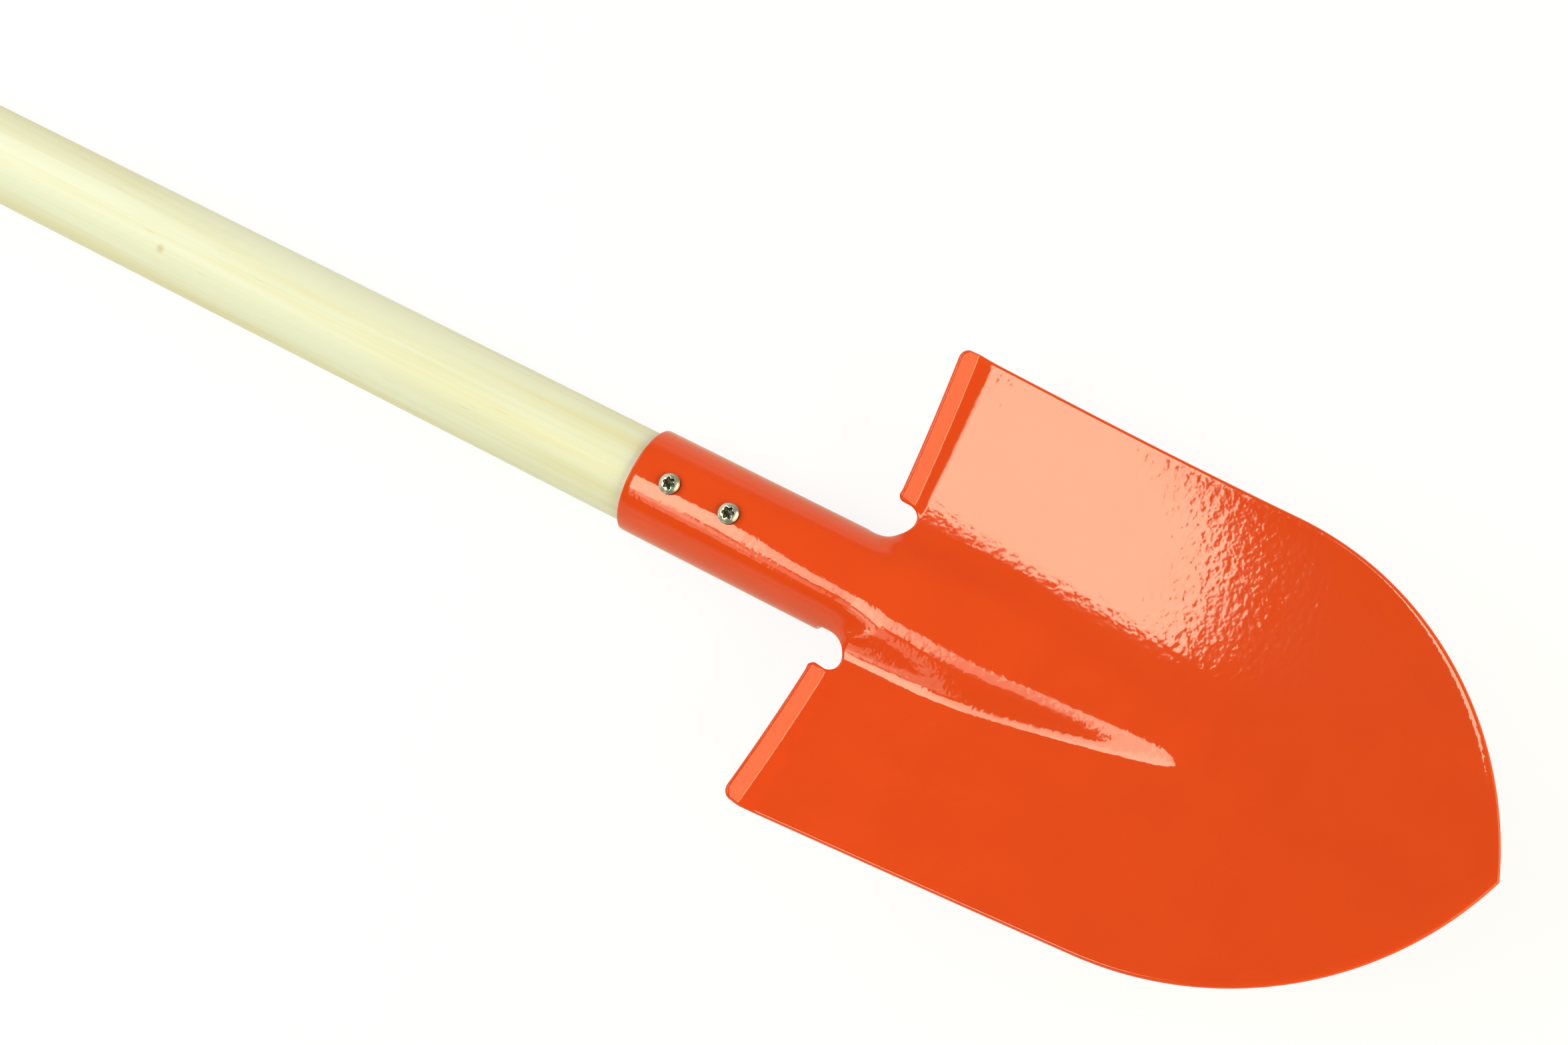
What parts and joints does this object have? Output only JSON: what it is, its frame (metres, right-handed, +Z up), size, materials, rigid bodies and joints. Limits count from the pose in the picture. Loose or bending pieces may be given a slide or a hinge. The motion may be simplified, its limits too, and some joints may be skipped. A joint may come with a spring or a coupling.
{
  "type": "garden spade",
  "caption": "Children's round-point garden spade: dished orange enamelled steel blade with turned-up treads and a rolled socket, screwed to a straight pale wooden pole.",
  "frame": {"origin": "middle of the underside of the box round the whole spade, on the floor that it lies on", "axes": "+X along the pole towards the blade's tip, +Z up out of the blade's face, +Y across the blade; the spade is symmetric about Y = 0"},
  "size_m": [0.799, 0.1416, 0.0655],
  "materials": {
    "enamel": "orange gloss enamel with a slight orange-peel texture",
    "wood": "pale straight-grained hardwood, sanded and clear lacquered",
    "zinc": "bright zinc plating"
  },
  "bodies": {
    "root": {"blade": "enamel", "handle": "wood", "upper_screw": "zinc", "lower_screw": "zinc"}
  },
  "joints": []
}
